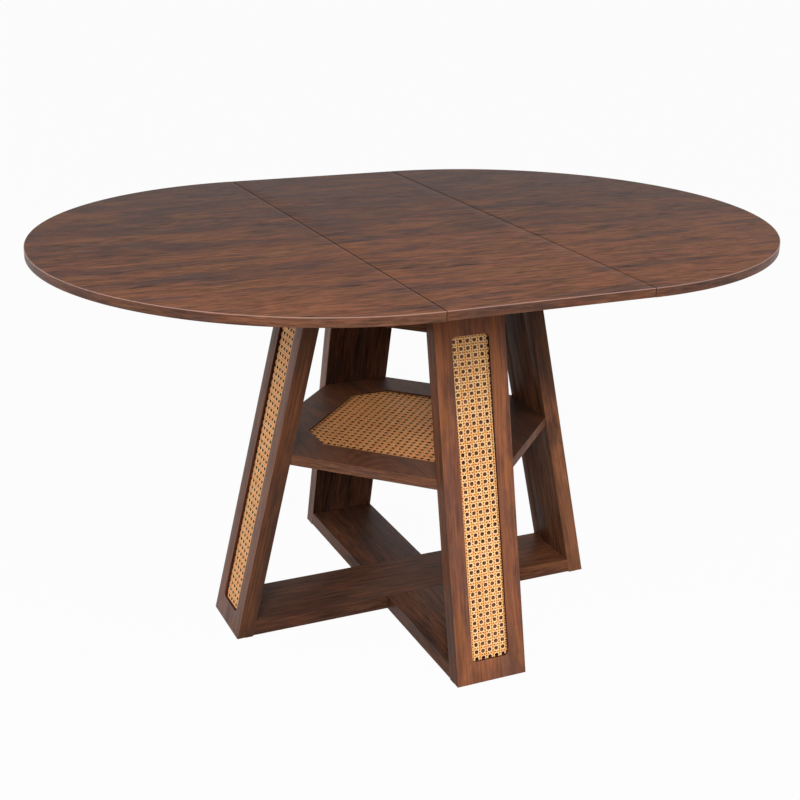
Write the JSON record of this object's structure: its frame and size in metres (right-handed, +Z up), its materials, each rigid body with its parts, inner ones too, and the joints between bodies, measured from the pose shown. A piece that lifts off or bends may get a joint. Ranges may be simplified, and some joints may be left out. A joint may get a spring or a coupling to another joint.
{
  "type": "extending dining table",
  "caption": "Round dining table with a drop-in leaf: half-round tops on wooden runners over a base of leaning legs with cane windows, a caned octagonal shelf and a floor cross.",
  "frame": {"origin": "on the floor, at the centre of the floor cross, under the middle of the leaf", "axes": "+X along the extension towards the right half, +Y along the seams towards the back, +Z up"},
  "size_m": [1.4138, 1.04, 0.76],
  "materials": {
    "walnut": "satin lacquer on walnut veneer with long dark streaks",
    "dark_walnut": "satin lacquer, darker walnut on inner and hidden faces",
    "runner_wood": "plain waxed hardwood",
    "cane": "honey-coloured natural cane, woven open, low sheen",
    "screw_steel": "zinc-plated steel",
    "glide": "dark matt plastic"
  },
  "bodies": {
    "base": {"front_fixed_runner": "runner_wood", "back_fixed_runner": "runner_wood", "fixed_runner_screws": "screw_steel", "top_plate": "dark_walnut", "plate_screws": "screw_steel", "front_left_apron": "dark_walnut", "front_right_apron": "dark_walnut", "back_left_apron": "dark_walnut", "back_right_apron": "dark_walnut", "apron_dowels": "runner_wood", "left_leg_frame": "walnut", "left_leg_back": "dark_walnut", "left_leg_cane": "cane", "left_leg_bead": "runner_wood", "front_leg_frame": "walnut", "front_leg_back": "dark_walnut", "front_leg_cane": "cane", "front_leg_bead": "runner_wood", "right_leg_frame": "walnut", "right_leg_back": "dark_walnut", "right_leg_cane": "cane", "right_leg_bead": "runner_wood", "back_leg_frame": "walnut", "back_leg_back": "dark_walnut", "back_leg_cane": "cane", "back_leg_bead": "runner_wood", "shelf_board": "walnut", "shelf_cane": "cane", "shelf_panel": "dark_walnut", "shelf_dowels": "runner_wood", "long_floor_arm": "walnut", "front_floor_arm": "walnut", "back_floor_arm": "walnut", "floor_dowels": "runner_wood", "foot_glides": "glide"},
    "left_half": {"left_half_top": "walnut", "left_front_runner": "runner_wood", "left_back_runner": "runner_wood", "left_cleat": "runner_wood", "left_half_screws": "screw_steel"},
    "right_half": {"right_half_top": "walnut", "right_front_runner": "runner_wood", "right_back_runner": "runner_wood", "right_cleat": "runner_wood", "right_half_screws": "screw_steel"},
    "leaf": {"leaf_panel": "walnut", "leaf_front_batten": "runner_wood", "leaf_back_batten": "runner_wood", "leaf_outer_battens": "runner_wood", "leaf_screws": "screw_steel"}
  },
  "joints": [
    {"name": "left_slide", "type": "slide", "parent": "base", "child": "left_half", "axis": [-1, 0, 0], "range_m": [0, 0.045]},
    {"name": "right_slide", "type": "slide", "parent": "base", "child": "right_half", "axis": [1, 0, 0], "range_m": [0, 0.045]},
    {"name": "leaf_lift", "type": "slide", "parent": "base", "child": "leaf", "axis": [0, 0, 1], "range_m": [0, 0.3]}
  ]
}
